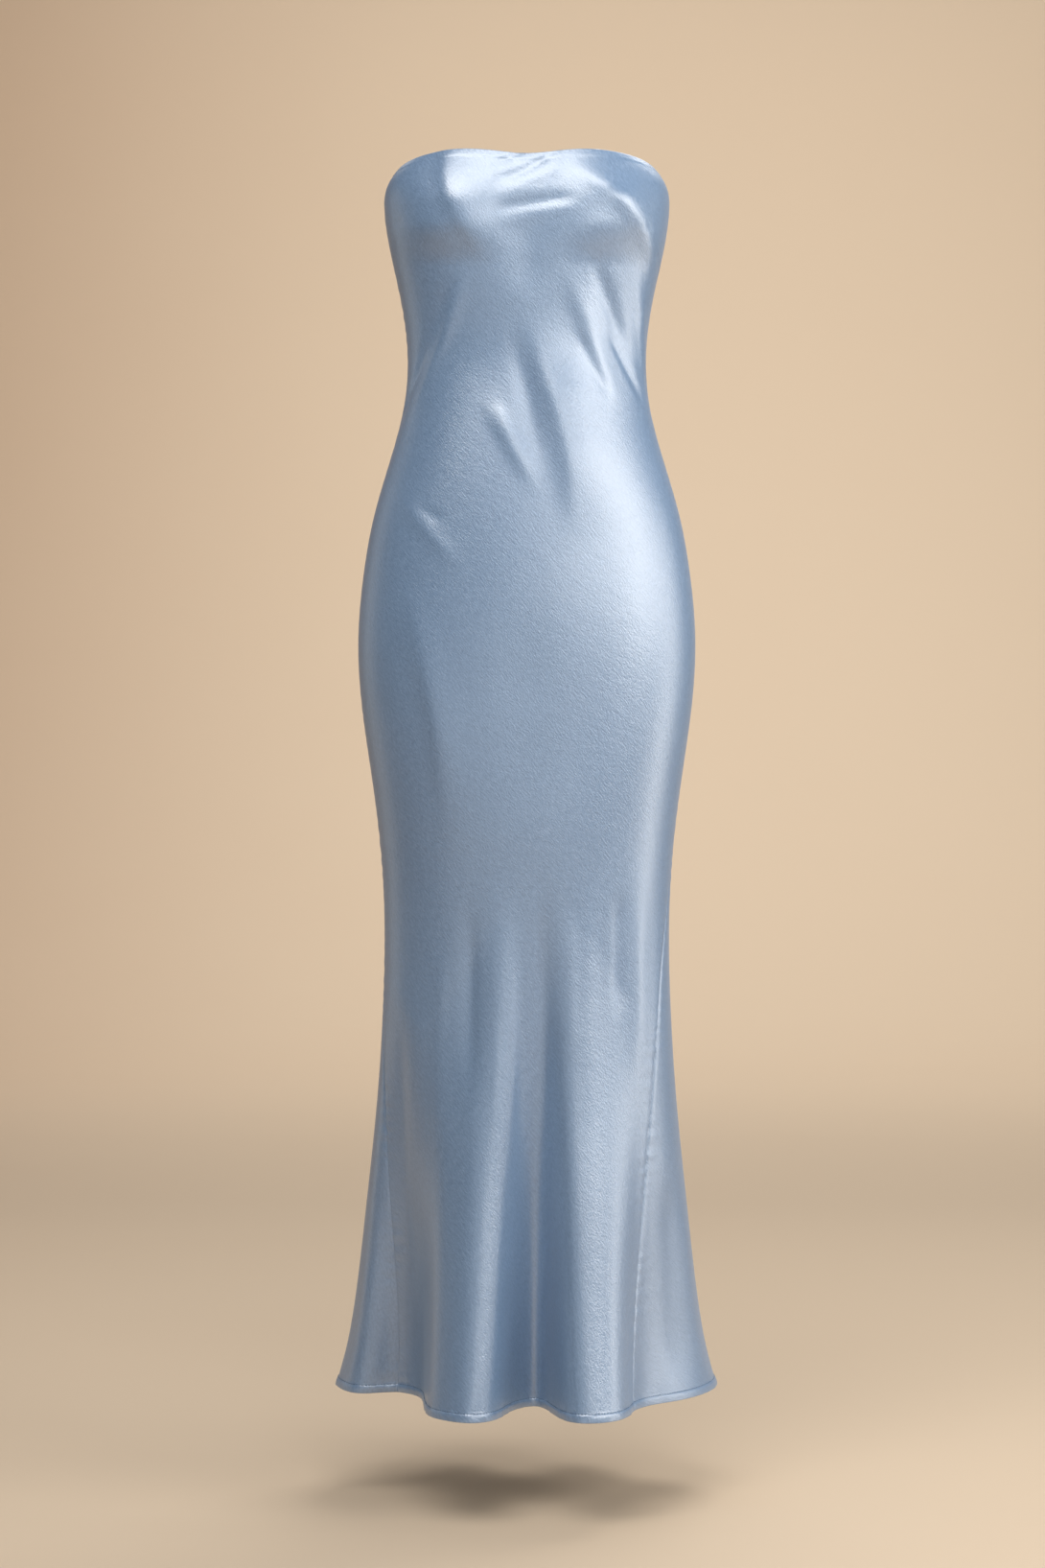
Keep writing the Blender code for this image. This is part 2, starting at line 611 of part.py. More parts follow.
def build():
    clear_scene()
    dress = new_collection(COLLECTION)
    cutters = new_collection(CUTTERS)
    satin_blue = (0.42, 0.54, 0.68)
    front_satin = make_material("front_satin", satin_blue, 0.32)
    back_right_satin = make_material("back_right_satin", satin_blue, 0.32)
    back_left_satin = make_material("back_left_satin", satin_blue, 0.32)
    tape_cloth = make_material("zip_tape_cloth", (0.36, 0.47, 0.60), 0.8)
    slider_metal = make_material("zip_slider_metal", (0.45, 0.56, 0.68), 0.4)
    pull_metal = make_material("zip_pull_metal", (0.45, 0.56, 0.68), 0.35)
    panel("front_panel", front_edges, FRONT_COLUMNS, front_satin, dress)
    panel("back_right_panel", back_right_edges, BACK_COLUMNS, back_right_satin, dress)
    panel("back_left_panel", back_left_edges, BACK_COLUMNS, back_left_satin, dress)
    tape("zip_tape_right", 1, tape_cloth, dress)
    tape("zip_tape_left", -1, tape_cloth, dress)
    axis = zip_slider(slider_metal, dress, cutters)
    zip_pull(axis, pull_metal, dress)


build()
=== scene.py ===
"""Looks of the strapless bias-cut satin dress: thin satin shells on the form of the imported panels, with drag
folds, flutes, seams, hem stitching and a concealed zip, in front of a plain warm backdrop. Metres, +Z up."""
from math import cos, pi, radians, sin

import bpy
import numpy as np
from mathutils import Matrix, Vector


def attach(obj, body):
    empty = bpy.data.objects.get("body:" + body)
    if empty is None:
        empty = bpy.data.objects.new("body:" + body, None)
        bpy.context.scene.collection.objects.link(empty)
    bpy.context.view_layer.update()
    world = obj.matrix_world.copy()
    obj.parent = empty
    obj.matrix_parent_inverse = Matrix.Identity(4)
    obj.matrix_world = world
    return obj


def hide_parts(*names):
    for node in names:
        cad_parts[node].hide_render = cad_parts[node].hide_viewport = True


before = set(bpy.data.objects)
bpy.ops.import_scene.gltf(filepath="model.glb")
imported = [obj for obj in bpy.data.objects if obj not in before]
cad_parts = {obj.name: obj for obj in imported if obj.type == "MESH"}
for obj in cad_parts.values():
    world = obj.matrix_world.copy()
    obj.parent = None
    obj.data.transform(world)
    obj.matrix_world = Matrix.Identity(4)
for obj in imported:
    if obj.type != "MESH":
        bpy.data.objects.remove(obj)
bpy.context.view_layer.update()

# Sizes of the cut, in metres
HEM_DOWN = 1.2645
HEM_TURN = 0.010
TOP_TURN = 0.007
FOLD_GROWTH = 1.4
FOLD_SCALE = 0.125
TOP_EDGE_FADE = 0.045
CENTRE_BACK_DEG = 180.0

# Sections of the fitted form. down: below the top edge. half_width: at the side. front, back: depths.
# front_square, back_square: 2 is an ellipse, more is squarer.
SECTION_COLUMNS = ("down", "half_width", "front", "back", "front_square", "back_square")
SECTIONS = (
    (0.0000, 0.1350, 0.0920, 0.0900, 2.55, 2.40),
    (0.0085, 0.1415, 0.0955, 0.0910, 2.60, 2.40),
    (0.0385, 0.1478, 0.1015, 0.0925, 2.55, 2.35),
    (0.0685, 0.1442, 0.1025, 0.0925, 2.50, 2.30),
    (0.1185, 0.1337, 0.0975, 0.0890, 2.35, 2.25),
    (0.1585, 0.1265, 0.0915, 0.0835, 2.25, 2.20),
    (0.1985, 0.1237, 0.0885, 0.0805, 2.20, 2.20),
    (0.2385, 0.1268, 0.0915, 0.0845, 2.20, 2.20),
    (0.2985, 0.1417, 0.0985, 0.0980, 2.20, 2.20),
    (0.3585, 0.1590, 0.1045, 0.1115, 2.20, 2.20),
    (0.4185, 0.1697, 0.1090, 0.1200, 2.20, 2.20),
    (0.4885, 0.1752, 0.1120, 0.1215, 2.20, 2.20),
    (0.5585, 0.1710, 0.1125, 0.1165, 2.20, 2.20),
    (0.6385, 0.1597, 0.1105, 0.1085, 2.20, 2.20),
    (0.7185, 0.1507, 0.1065, 0.1010, 2.20, 2.20),
    (0.7985, 0.1478, 0.1045, 0.0985, 2.20, 2.20),
    (0.8785, 0.1499, 0.1060, 0.1005, 2.20, 2.20),
    (0.9785, 0.1568, 0.1115, 0.1065, 2.20, 2.20),
    (1.0785, 0.1668, 0.1195, 0.1145, 2.20, 2.20),
    (1.1785, 0.1780, 0.1285, 0.1235, 2.20, 2.20),
    (1.2285, 0.1868, 0.1335, 0.1285, 2.20, 2.20),
    (1.2645, 0.1965, 0.1370, 0.1320, 2.20, 2.20),
)

# Points of the hem line seen from above, for the flutes. round_deg: the cloth's line round the section, 0 at
# centre front and 90 at the side on +X. x, y: where that line ends at the hem. start: where its fold begins.
HEM_COLUMNS = ("round_deg", "x", "y", "start")
HEM_POINTS = (
    (-90, -0.1965, 0.0000, 0.88),
    (-84, -0.1790, -0.0330, 0.88),
    (-78, -0.1560, -0.0330, 0.86),
    (-71, -0.1350, -0.0290, 0.85),
    (-63, -0.1170, -0.0430, 0.86),
    (-56, -0.1065, -0.0680, 0.88),
    (-49, -0.1030, -0.1080, 0.88),
    (-42, -0.0985, -0.1480, 0.86),
    (-35, -0.0870, -0.1710, 0.84),
    (-27, -0.0670, -0.1880, 0.80),
    (-19, -0.0465, -0.1890, 0.78),
    (-12, -0.0300, -0.1700, 0.76),
    (-6, -0.0200, -0.1400, 0.75),
    (0, -0.0085, -0.1160, 0.75),
    (5, 0.0060, -0.1040, 0.75),
    (11, 0.0190, -0.1180, 0.75),
    (17, 0.0280, -0.1500, 0.75),
    (23, 0.0400, -0.1810, 0.76),
    (30, 0.0570, -0.1930, 0.78),
    (38, 0.0760, -0.1890, 0.80),
    (46, 0.0930, -0.1730, 0.83),
    (52, 0.1020, -0.1510, 0.85),
    (58, 0.1080, -0.1260, 0.86),
    (64, 0.1240, -0.1010, 0.87),
    (72, 0.1500, -0.0790, 0.88),
    (81, 0.1770, -0.0470, 0.88),
    (90, 0.1965, 0.0000, 0.88),
    (100, 0.1930, 0.0480, 0.90),
    (110, 0.1700, 0.0800, 0.92),
    (119, 0.1430, 0.0890, 0.88),
    (127, 0.1210, 0.1080, 0.85),
    (135, 0.1060, 0.1380, 0.82),
    (144, 0.0830, 0.1590, 0.80),
    (153, 0.0560, 0.1540, 0.80),
    (161, 0.0390, 0.1270, 0.80),
    (169, 0.0210, 0.1080, 0.80),
    (177, 0.0020, 0.1180, 0.80),
    (185, -0.0150, 0.1470, 0.80),
    (194, -0.0390, 0.1680, 0.82),
    (203, -0.0650, 0.1610, 0.84),
    (211, -0.0830, 0.1340, 0.85),
    (219, -0.1000, 0.1060, 0.86),
    (228, -0.1240, 0.0920, 0.87),
    (238, -0.1520, 0.0930, 0.88),
    (248, -0.1770, 0.0730, 0.90),
    (259, -0.1930, 0.0390, 0.90),
)

# Height of the top edge above or below the origin's level, round the dress.
TOP_EDGE_COLUMNS = ("round_deg", "rise")
TOP_EDGE = (
    (-90, -0.0030),
    (-75, -0.0005),
    (-62, 0.0042),
    (-50, 0.0075),
    (-36, 0.0088),
    (-18, 0.0062),
    (0, 0.0036),
    (18, 0.0062),
    (36, 0.0088),
    (50, 0.0075),
    (62, 0.0042),
    (75, -0.0005),
    (90, -0.0030),
    (130, -0.0050),
    (180, -0.0060),
    (230, -0.0050),
)

# Side seams: the cloth's line that each follows. They come forward below the knee.
SEAM_COLUMNS = ("down", "right_deg", "left_deg")
SIDE_SEAMS = (
    (0.00, 90.0, -90.0),
    (0.68, 90.0, -90.0),
    (0.80, 75.0, -86.0),
    (0.92, 66.0, -80.0),
    (1.05, 61.0, -75.0),
    (1.16, 58.5, -72.0),
    (1.2645, 57.0, -70.5),
)

# Soft folds and cups: a line on the cloth from one place to another, raised by height, or sunk where it is
# below 0. bow: how far its middle swings towards larger round_deg, as a part of its length. reach_low and
# reach_high: half-widths on the side of smaller and of larger round_deg.
FOLD_COLUMNS = ("from_deg", "from_down", "to_deg", "to_down", "bow", "reach_low", "reach_high", "height")
LARGE_FOLDS = (
    (-40, 0.006, -42, 0.110, 0.00, 0.0420, 0.0420, 0.0100),    # cup on the -X side
    (40, 0.006, 42, 0.110, 0.00, 0.0420, 0.0420, 0.0100),      # cup on the +X side
    (0, 0.045, 0, 0.150, 0.00, 0.0300, 0.0300, -0.0030),       # cloth drawn in between the cups
    (-52, -0.040, -22, 0.115, 0.00, 0.0120, 0.0300, 0.0032),   # edge of the -X cup's top plane
    (16, -0.005, 82, 0.140, 0.04, 0.0140, 0.0320, 0.0040),      # edge of the +X cup's top plane
    (56, 0.100, 83, 0.250, 0.05, 0.0080, 0.0100, 0.0024),      # drag fold at the +X side of the waist
    (33, 0.092, 68, 0.215, 0.00, 0.0085, 0.0085, -0.0032),     # trough beside it
    (22, 0.106, 55, 0.255, 0.00, 0.0105, 0.0150, 0.0034),      # drag fold from under the +X cup
    (-3, 0.148, 27, 0.405, 0.07, 0.0160, 0.0500, 0.0070),      # large drag fold across the waist
    (-14, 0.165, 8, 0.345, 0.05, 0.0140, 0.0120, -0.0026),      # trough beside it
    (-28, 0.236, 9, 0.345, 0.00, 0.0100, 0.0130, 0.0027),      # short ridge under the waist
    (-68, 0.330, -30, 0.432, 0.00, 0.0080, 0.0120, 0.0011),    # hip ridge on the -X side
    (-61, 0.425, -40, 0.730, 0.05, 0.0110, 0.0240, 0.0024),    # edge of the thigh on the -X side
    (-30, 0.105, -74, 0.270, 0.00, 0.0080, 0.0080, 0.0026),    # drag fold at the -X side of the waist
    (-41, 0.115, -83, 0.272, 0.00, 0.0080, 0.0080, -0.0022),   # trough beside it
    (0, 0.440, 0, 0.700, 0.00, 0.0600, 0.0600, -0.0030),       # cloth flat between the thighs
    (8, 0.705, 13, 1.060, 0.00, 0.0110, 0.0150, -0.0038),      # valley between the front flutes
    (-16, 0.715, -13, 1.060, 0.00, 0.0140, 0.0160, 0.0030),    # crest of the front flute on the -X side
    (-31, 0.730, -29, 0.980, 0.00, 0.0100, 0.0100, -0.0026),   # trough beside it
    (33, 0.725, 32, 1.000, 0.00, 0.0110, 0.0130, 0.0022),      # crest of the front flute on the +X side
    (58, 0.700, 56, 0.980, 0.00, 0.0110, 0.0110, 0.0018),      # ridge beside the +X seam
    (176, 0.140, 143, 0.395, -0.07, 0.0400, 0.0100, 0.0050),   # large drag fold across the back
    (186, 0.180, 176, 0.300, 0.00, 0.0090, 0.0090, -0.0018),   # trough beside it
    (154, 0.120, 116, 0.245, -0.03, 0.0100, 0.0120, -0.0026),  # back waist trough on the +X side
    (207, 0.125, 243, 0.235, 0.03, 0.0120, 0.0100, -0.0026),   # back waist trough on the -X side
    (136, 0.110, 104, 0.265, -0.03, 0.0110, 0.0090, 0.0026),   # back waist ridge on the +X side
    (213, 0.195, 250, 0.325, 0.03, 0.0090, 0.0130, 0.0028),    # back waist ridge on the -X side
    (192, 0.235, 226, 0.345, 0.00, 0.0110, 0.0085, 0.0024),    # short ridge over the seat
    (160, 0.700, 158, 1.150, 0.00, 0.0130, 0.0130, 0.0034),    # crest of a back flute on the +X side
    (176, 0.720, 177, 1.120, 0.00, 0.0110, 0.0120, -0.0036),   # valley at the centre back
    (198, 0.715, 197, 1.140, 0.00, 0.0130, 0.0120, 0.0030),    # crest of a back flute on the -X side
)

# Small creases and drag lines of the same columns, which only the thin shell shows.
FINE_CREASES = (
    (20, -0.004, -21, 0.030, 0.03, 0.0026, 0.0030, -0.0017),
    (24, 0.006, -12, 0.038, 0.03, 0.0070, 0.0070, 0.0009),
    (1, -0.006, -21, 0.015, 0.00, 0.0028, 0.0030, -0.0011),
    (-26, 0.061, 30, 0.045, 0.03, 0.0052, 0.0052, -0.0017),
    (-22, 0.073, 34, 0.055, 0.03, 0.0060, 0.0060, 0.0008),
    (-20, 0.045, 18, 0.033, 0.03, 0.0080, 0.0080, 0.0011),
    (12, 0.030, -6, 0.034, 0.00, 0.0035, 0.0035, -0.0006),
    (24, 0.010, 74, 0.114, 0.03, 0.0080, 0.0130, 0.0021),
    (-58, 0.425, -41, 0.640, 0.04, 0.0055, 0.0140, 0.0012),
    (-9, 0.760, -5, 1.200, 0.00, 0.0080, 0.0070, 0.0018),
    (-48, -0.020, -24, 0.105, 0.00, 0.0080, 0.0160, 0.0012),
    (47, 0.165, 76, 0.252, 0.00, 0.0055, 0.0060, -0.0022),
    (70, 0.150, 87, 0.262, 0.00, 0.0045, 0.0050, -0.0010),
    (31, 0.175, 50, 0.245, 0.00, 0.0060, 0.0060, -0.0016),
    (-19, 0.250, -8, 0.290, 0.00, 0.0040, 0.0045, 0.0008),
    (-62, 0.345, -34, 0.415, 0.00, 0.0040, 0.0050, 0.0005),
    (-55, 0.352, -42, 0.372, 0.00, 0.0050, 0.0050, -0.0007),
    (-50, 0.140, -79, 0.262, 0.02, 0.0055, 0.0060, 0.0013),
    (-60, 0.175, -86, 0.270, 0.00, 0.0045, 0.0050, -0.0008),
    (47.5, 0.735, 47, 0.880, 0.00, 0.0070, 0.0070, -0.0018),
    (24, 0.760, 25, 0.930, 0.00, 0.0080, 0.0080, 0.0009),
    (-44, 0.790, -45, 1.020, 0.00, 0.0080, 0.0080, 0.0010),
    (-66, 0.860, -65, 1.180, 0.00, 0.0080, 0.0080, -0.0016),
    (-76, 1.090, -80, 1.275, 0.00, 0.0060, 0.0060, -0.0026),
    (-84, 1.120, -85, 1.275, 0.00, 0.0060, 0.0060, 0.0016),
    (74, 1.020, 76, 1.275, 0.00, 0.0120, 0.0120, -0.0030),
    (84, 1.060, 85, 1.275, 0.00, 0.0080, 0.0080, 0.0016),
    (148, 0.160, 122, 0.275, 0.00, 0.0055, 0.0060, -0.0015),
    (217, 0.150, 238, 0.255, 0.00, 0.0055, 0.0055, -0.0013),
    (118, 0.100, 98, 0.200, 0.00, 0.0060, 0.0060, -0.0014),
    (241, 0.100, 262, 0.205, 0.00, 0.0060, 0.0060, -0.0015),
    (166, 0.030, 196, 0.058, 0.03, 0.0060, 0.0060, -0.0012),
    (204, 0.008, 172, 0.026, 0.02, 0.0045, 0.0045, -0.0009),
    (128, 0.345, 112, 0.425, 0.00, 0.0060, 0.0065, 0.0012),
    (236, 0.350, 250, 0.440, 0.00, 0.0060, 0.0065, 0.0011),
    (140, 0.740, 139, 0.930, 0.00, 0.0090, 0.0090, -0.0016),
    (222, 0.760, 224, 0.980, 0.00, 0.0090, 0.0090, -0.0018),
)

# The bust darts: a sunk line to each, and a dimple at its point.
DARTS = (
    (90, 0.118, 57, 0.068, 0.02, 0.0020, 0.0020, -0.0008),
    (61, 0.073, 55, 0.064, 0.00, 0.0045, 0.0045, -0.0009),
    (-90, 0.116, -66, 0.060, -0.02, 0.0020, 0.0020, -0.0008),
    (-69, 0.066, -63, 0.057, 0.00, 0.0045, 0.0045, -0.0008),
)
FOLD_RAMP = 0.42            # part of a large fold's length over which it rises from nothing
CREASE_RAMP = 0.28          # the same for a fine crease

# The satin shell
SHELL = 0.0009              # thickness of the shown cloth
EDGE_ROUND = 0.0005         # rounding of the turned edges
TURN_RAISE = 0.00035        # how far turned cloth stands out at the top edge
HEM_PUFF = 0.0011           # how far the turned hem puffs out
STITCH_LINE = 0.0085        # height of the hem's stitch line above the edge
STITCH_GROOVE = 0.0007      # how deep the stitches draw the hem in
STITCH_LIFT = 0.0003        # height of the stitches over the middle of the groove
SEAM_GAP = 0.0004           # open line between two panels
CENTRE_SINK = 0.0008        # how far the cloth sinks at the centre-back seam
FRONT_SINK = 0.0003         # the same at a side seam, on the front panel
SIDE_SINK = 0.0011          # and on the back panels
SEAM_SINK_REACH = 0.0024
PUCKER_REACH = 0.013
PUCKER_DEPTH = 0.0004
SLOT_HALF = 0.0009          # half of the seam's opening at the zip's slider
SLOT_END = 0.0190
SLOT_EASE = 0.0045

FRONT_COLUMNS = 118
BACK_COLUMNS = 84
ROW_STEP = 0.0036

# Zip
ZIP_TOP_DOWN = 0.003
ZIP_END_DOWN = 0.385
TAPE_WIDTH = 0.0125
TAPE_THICK = 0.0007
TAPE_OFF_SHELL = 0.0006
COIL_PITCH = 0.0015
COIL_WIDTH = 0.0046
COIL_RISE = 0.0016
COIL_WIRE = 0.00040
COIL_START_DOWN = 0.0215


def spline(knots, values):
    """Returns the smooth curve (a natural cubic spline) through a table's column, as a function."""
    knots = np.asarray(knots, float)
    values = np.asarray(values, float)
    gaps = np.diff(knots)
    slopes = np.diff(values) / gaps
    count = len(knots)
    system = np.eye(count)
    right = np.zeros(count)
    for i in range(1, count - 1):
        system[i, i - 1] = gaps[i - 1]
        system[i, i] = 2 * (gaps[i - 1] + gaps[i])
        system[i, i + 1] = gaps[i]
        right[i] = 6 * (slopes[i] - slopes[i - 1])
    bend = np.linalg.solve(system, right)

    def curve(at):
        at = np.clip(np.asarray(at, float), knots[0], knots[-1])
        i = np.clip(np.searchsorted(knots, at, side="right") - 1, 0, count - 2)
        left = at - knots[i]
        gap = gaps[i]
        return (values[i] + left * (slopes[i] - gap * (2 * bend[i] + bend[i + 1]) / 6)
                + left ** 2 * bend[i] / 2 + left ** 3 * (bend[i + 1] - bend[i]) / (6 * gap))

    return curve


def column_splines(columns, rows):
    """Returns a curve for each named column of a table, over its first column."""
    data = np.array(rows, float)
    return {name: spline(data[:, 0], data[:, i]) for i, name in enumerate(columns) if i}


def closed_splines(columns, rows):
    """The same for a table whose first column goes once round, in degrees."""
    data = np.array(rows, float)
    before = data[-6:].copy()
    before[:, 0] -= 360
    after = data[:6].copy()
    after[:, 0] += 360
    return column_splines(columns, np.vstack([before, data, after]))


section = column_splines(SECTION_COLUMNS, SECTIONS)
hem_line = closed_splines(HEM_COLUMNS, HEM_POINTS)
top_edge = closed_splines(TOP_EDGE_COLUMNS, TOP_EDGE)
side_seam = column_splines(SEAM_COLUMNS, SIDE_SEAMS)


def wrapped(angle):
    """An angle in degrees, moved into the range of the tables that go round."""
    first = HEM_POINTS[0][0]
    return (np.asarray(angle, float) - first) % 360 + first


def smooth(value):
    """Eases from 0 to 1."""
    value = np.clip(value, 0, 1)
    return value * value * (3 - 2 * value)


def plain_section(angle, down):
    """Point of the fitted form on the line at that angle, before flutes and folds."""
    turn = np.radians(angle)
    front = np.cos(turn) > 0
    depth = np.where(front, section["front"](down), section["back"](down))
    square = np.where(front, section["front_square"](down), section["back_square"](down))
    across = np.abs(np.sin(turn)) / section["half_width"](down)
    along = np.abs(np.cos(turn)) / depth
    reach = (across ** square + along ** square) ** (-1 / square)
    return reach * np.sin(turn), -reach * np.cos(turn)


def fold_height(angle, down):
    """Sum of the folds at a place of the cloth, outward."""
    total = folds_in(LARGE_FOLDS, FOLD_RAMP, angle, down)
    return total + folds_in(FINE_CREASES + DARTS, CREASE_RAMP, angle, down)


def folds_in(table, ramp, angle, down):
    """Height of one table's folds at a place of the cloth."""
    total = np.zeros(np.broadcast(angle, down).shape)
    for from_deg, from_down, to_deg, to_down, bow, reach_low, reach_high, height in table:
        middle = (from_deg + to_deg) / 2
        near = (angle - middle + 180) % 360 - 180
        across = np.radians(near) * FOLD_SCALE
        start = np.array([radians(from_deg - middle) * FOLD_SCALE, from_down])
        run = np.array([radians(to_deg - middle) * FOLD_SCALE, to_down]) - start
        length = np.hypot(*run)
        part = ((across - start[0]) * run[0] + (down - start[1]) * run[1]) / length ** 2
        off = ((across - start[0]) * run[1] - (down - start[1]) * run[0]) / length
        off = off - bow * length * 4 * part * (1 - part)
        reach = np.where(off > 0, reach_high, reach_low)
        taper = smooth(part / ramp) * smooth((1 - part) / ramp)
        total = total + height * taper * np.exp(-(off / reach) ** 2)
    return total


def cloth(angle, down):
    """Middle of the satin on the line at that angle, that far below the top edge."""
    angle = wrapped(angle)
    down = np.asarray(down, float)
    x, y = plain_section(angle, down)
    hem_x, hem_y = plain_section(angle, np.full_like(down, HEM_DOWN))
    start = hem_line["start"](angle)
    growth = np.clip((down - start) / (HEM_DOWN - start), 0, None) ** FOLD_GROWTH
    x = x + (hem_line["x"](angle) - hem_x) * growth
    y = y + (hem_line["y"](angle) - hem_y) * growth
    lift = fold_height(angle, down)
    turn = np.radians(angle)
    x = x + lift * np.sin(turn)
    y = y - lift * np.cos(turn)
    z = top_edge["rise"](angle) * np.exp(-down / TOP_EDGE_FADE) - down
    return np.stack([x, y, z], axis=-1)


def outward(angle, down):
    """Unit normal of the cloth, pointing away from the wearer."""
    small_turn = 0.05
    small_drop = 0.0002
    round_ward = cloth(angle + small_turn, down) - cloth(angle - small_turn, down)
    down = np.asarray(down, float)
    above = np.maximum(down - small_drop, 0)
    below = np.minimum(down + small_drop, HEM_DOWN)
    down_ward = cloth(angle, below) - cloth(angle, above)
    normal = np.cross(down_ward, round_ward)
    return normal / np.linalg.norm(normal, axis=-1, keepdims=True)


def shell_rows():
    """Heights of a panel's rows: even, and close together at the turned edges."""
    top = [0.0, 0.00012, 0.0003, 0.0006, 0.0012, 0.0025, 0.0045, 0.0060, 0.0068, 0.0078]
    hem_top = HEM_DOWN - HEM_TURN
    stitch = HEM_DOWN - STITCH_LINE
    hem = [hem_top - 0.0012, hem_top, stitch - 0.0005, stitch, stitch + 0.0006, stitch + 0.0015]
    hem += [HEM_DOWN - d for d in (0.0055, 0.0040, 0.0027, 0.0015, 0.0008, 0.0004, 0.00015, 0.0)]
    count = int((hem[0] - top[-1]) / ROW_STEP)
    return np.concatenate([top, np.linspace(top[-1], hem[0], count + 1)[1:-1], hem])


def place_of_columns(total, count):
    """Distances along a row: even, and close together at the two seams."""
    near = np.array([0.0, 0.0003, 0.0008, 0.0015, 0.0026, 0.0042])
    middle = np.linspace(near[-1], total - near[-1], count - 2 * len(near) + 3)[1:-1]
    return np.concatenate([near, middle, total - near[::-1]])


def edge_round(down):
    """Half thickness of the shell, falling in a quarter circle to nothing at the top edge and the hem."""
    from_edge = np.minimum(down, HEM_DOWN - down)
    inside = np.clip(1 - from_edge / EDGE_ROUND, 0, 1)
    return SHELL / 2 * np.sqrt(np.clip(1 - inside ** 2, 0.0004, 1))


def turned_raise(along, down):
    """How far the outer face stands out where the cloth is turned, with the puffs between the stitches."""
    top = TURN_RAISE * smooth((TOP_TURN - down) / 0.0012)
    from_hem = HEM_DOWN - down
    band = smooth((HEM_TURN - from_hem) / 0.0012)
    belly = 0.70 + 0.30 * np.sin(np.clip(from_hem / STITCH_LINE, 0, 1) * pi)
    roping = 1 + 0.40 * np.sin(along / 0.0125 * 2 * pi + from_hem * 260) * np.sin(along / 0.071 * 2 * pi)
    stitched = np.exp(-((from_hem - STITCH_LINE) / 0.0009) ** 2)
    ripple = 0.00022 * np.sin(along / 0.019 * 2 * pi + 2 * np.sin(along / 0.13 * 2 * pi))
    ease = np.exp(-np.clip(from_hem - HEM_TURN, 0, None) / 0.012)
    return top + HEM_PUFF * band * belly * roping - STITCH_GROOVE * stitched + ripple * ease


def seam_relief(from_start, from_end, down, sinks, seeds):
    """Sink of the cloth at its two seams, and the puckers beside them."""
    total = np.zeros(from_start.shape)
    for distance, sink, seed in zip((from_start, from_end), sinks, seeds):
        total = total - sink * np.exp(-(distance / SEAM_SINK_REACH) ** 2)
        wave = np.sin(down / 0.0145 * 2 * pi + seed + 1.6 * np.sin(down / 0.083 * 2 * pi + seed))
        wave = wave * (0.55 + 0.45 * np.sin(down / 0.137 * 2 * pi + 2 * seed))
        total = total + PUCKER_DEPTH * wave * np.exp(-(distance / PUCKER_REACH) ** 2)
    return total


def slot_half(down):
    """Half of the centre-back seam's gap: wider at the top, where the zip's slider passes."""
    return SEAM_GAP / 2 + (SLOT_HALF - SEAM_GAP / 2) * smooth((SLOT_END - down) / SLOT_EASE)


def angle_for(distance, angle, down):
    """Degrees round that move a point on the cloth by a distance."""
    small = 0.05
    step = cloth(angle + small, down) - cloth(angle - small, down)
    return distance * 2 * small / np.linalg.norm(step)


def new_object(name, points, faces, material, uv=None):
    """A mesh object from points and faces, with one pair of cloth coordinates for each point."""
    mesh = bpy.data.meshes.new(name)
    mesh.from_pydata(np.asarray(points).tolist(), [], np.asarray(faces).tolist())
    mesh.shade_smooth()
    if uv is not None:
        layer = mesh.uv_layers.new(name="cloth")
        index = np.zeros(len(mesh.loops), dtype=np.int32)
        mesh.loops.foreach_get("vertex_index", index)
        layer.data.foreach_set("uv", np.asarray(uv)[index].ravel())
    mesh.materials.append(material)
    piece = bpy.data.objects.new(name, mesh)
    bpy.context.scene.collection.objects.link(piece)
    return piece


def closed_sheet(name, outer, inner, uv, material):
    """One closed thin wall between two grids of points of the same size, rows by columns."""
    rows, columns = outer.shape[:2]
    count = rows * columns
    number = np.arange(count).reshape(rows, columns)
    a, b = number[:-1, :-1].ravel(), number[1:, :-1].ravel()
    c, d = number[1:, 1:].ravel(), number[:-1, 1:].ravel()
    out_faces = np.stack([a, b, c, d], axis=1)
    in_faces = np.stack([a, d, c, b], axis=1) + count
    rim = np.concatenate([number[0, :-1], number[:-1, -1], number[-1, :0:-1], number[:0:-1, 0]])
    after = np.roll(rim, -1)
    rim_faces = np.stack([rim, after, after + count, rim + count], axis=1)
    points = np.vstack([outer.reshape(-1, 3), inner.reshape(-1, 3)])
    both_uv = np.vstack([uv.reshape(-1, 2), uv.reshape(-1, 2)])
    return new_object(name, points, np.vstack([out_faces, in_faces, rim_faces]), material, both_uv)


def panel_grid(edges, columns):
    """Angles, heights and distances from the start seam for each point of a panel."""
    rows = shell_rows()
    angles = []
    places = []
    for down in rows:
        (start, start_gap), (end, end_gap) = edges(down)
        start = start + angle_for(start_gap, start, down)
        end = end - angle_for(end_gap, end, down)
        fine = np.linspace(start, end, 500)
        points = cloth(fine, np.full(fine.shape, down))
        run = np.concatenate([[0], np.cumsum(np.linalg.norm(np.diff(points, axis=0), axis=1))])
        place = place_of_columns(run[-1], columns)
        angles.append(np.interp(place, run, fine))
        places.append(place)
    return rows, np.array(angles), np.array(places)


